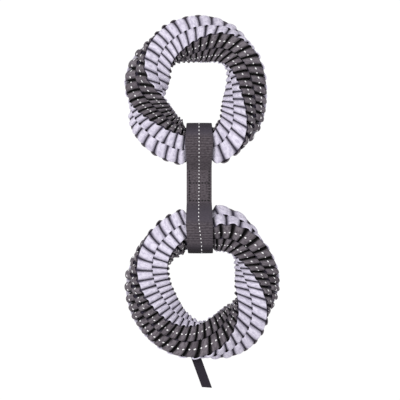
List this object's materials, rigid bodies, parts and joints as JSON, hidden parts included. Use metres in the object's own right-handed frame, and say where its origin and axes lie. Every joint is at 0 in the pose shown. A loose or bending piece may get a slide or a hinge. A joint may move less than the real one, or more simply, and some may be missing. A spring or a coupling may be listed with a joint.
{
  "type": "braided webbing ring tug toy",
  "caption": "Soft tug toy: square box-braided webbing rings joined end to end by a short sewn webbing strap, with a folded ribbon label.",
  "frame": {"origin": "centre of the sewn strap's top face, halfway between the rings", "axes": "+Z out of the strap's top face, square to the flat of the toy; +Y along the strap to the smaller (upper) ring; +X across the strap"},
  "size_m": [0.1571, 0.3733, 0.0478],
  "materials": {
    "light_webbing": "matt woven",
    "dark_webbing": "matt woven",
    "strap_webbing": "matt woven",
    "label_ribbon": "satin ribbon"
  },
  "bodies": {
    "strap": {"strap_sewn_middle": "strap_webbing"},
    "upper_ring": {"strap_upper_eye": "strap_webbing", "upper_light_strand_a": "light_webbing", "upper_light_strand_b": "light_webbing", "upper_dark_strand_a": "dark_webbing", "upper_dark_strand_b": "dark_webbing"},
    "lower_ring": {"strap_lower_eye": "strap_webbing", "lower_light_strand_a": "light_webbing", "lower_light_strand_b": "light_webbing", "lower_dark_strand_a": "dark_webbing", "lower_dark_strand_b": "dark_webbing"},
    "label": {"label_tab": "label_ribbon"}
  },
  "joints": [
    {"name": "upper_ring_fold", "type": "hinge", "parent": "strap", "child": "upper_ring", "pos_m": [0, 0.01745, -0.0018], "axis": [1, 0, 0], "range_deg": [-70, 70]},
    {"name": "lower_ring_fold", "type": "hinge", "parent": "strap", "child": "lower_ring", "pos_m": [0, -0.01745, -0.0018], "axis": [-1, 0, 0], "range_deg": [-70, 70]},
    {"name": "label_flap", "type": "hinge", "parent": "lower_ring", "child": "label", "pos_m": [-0.0033, -0.17138, -0.0078], "axis": [-0.9974, 0.0714, 0], "range_deg": [-70, 70]}
  ]
}
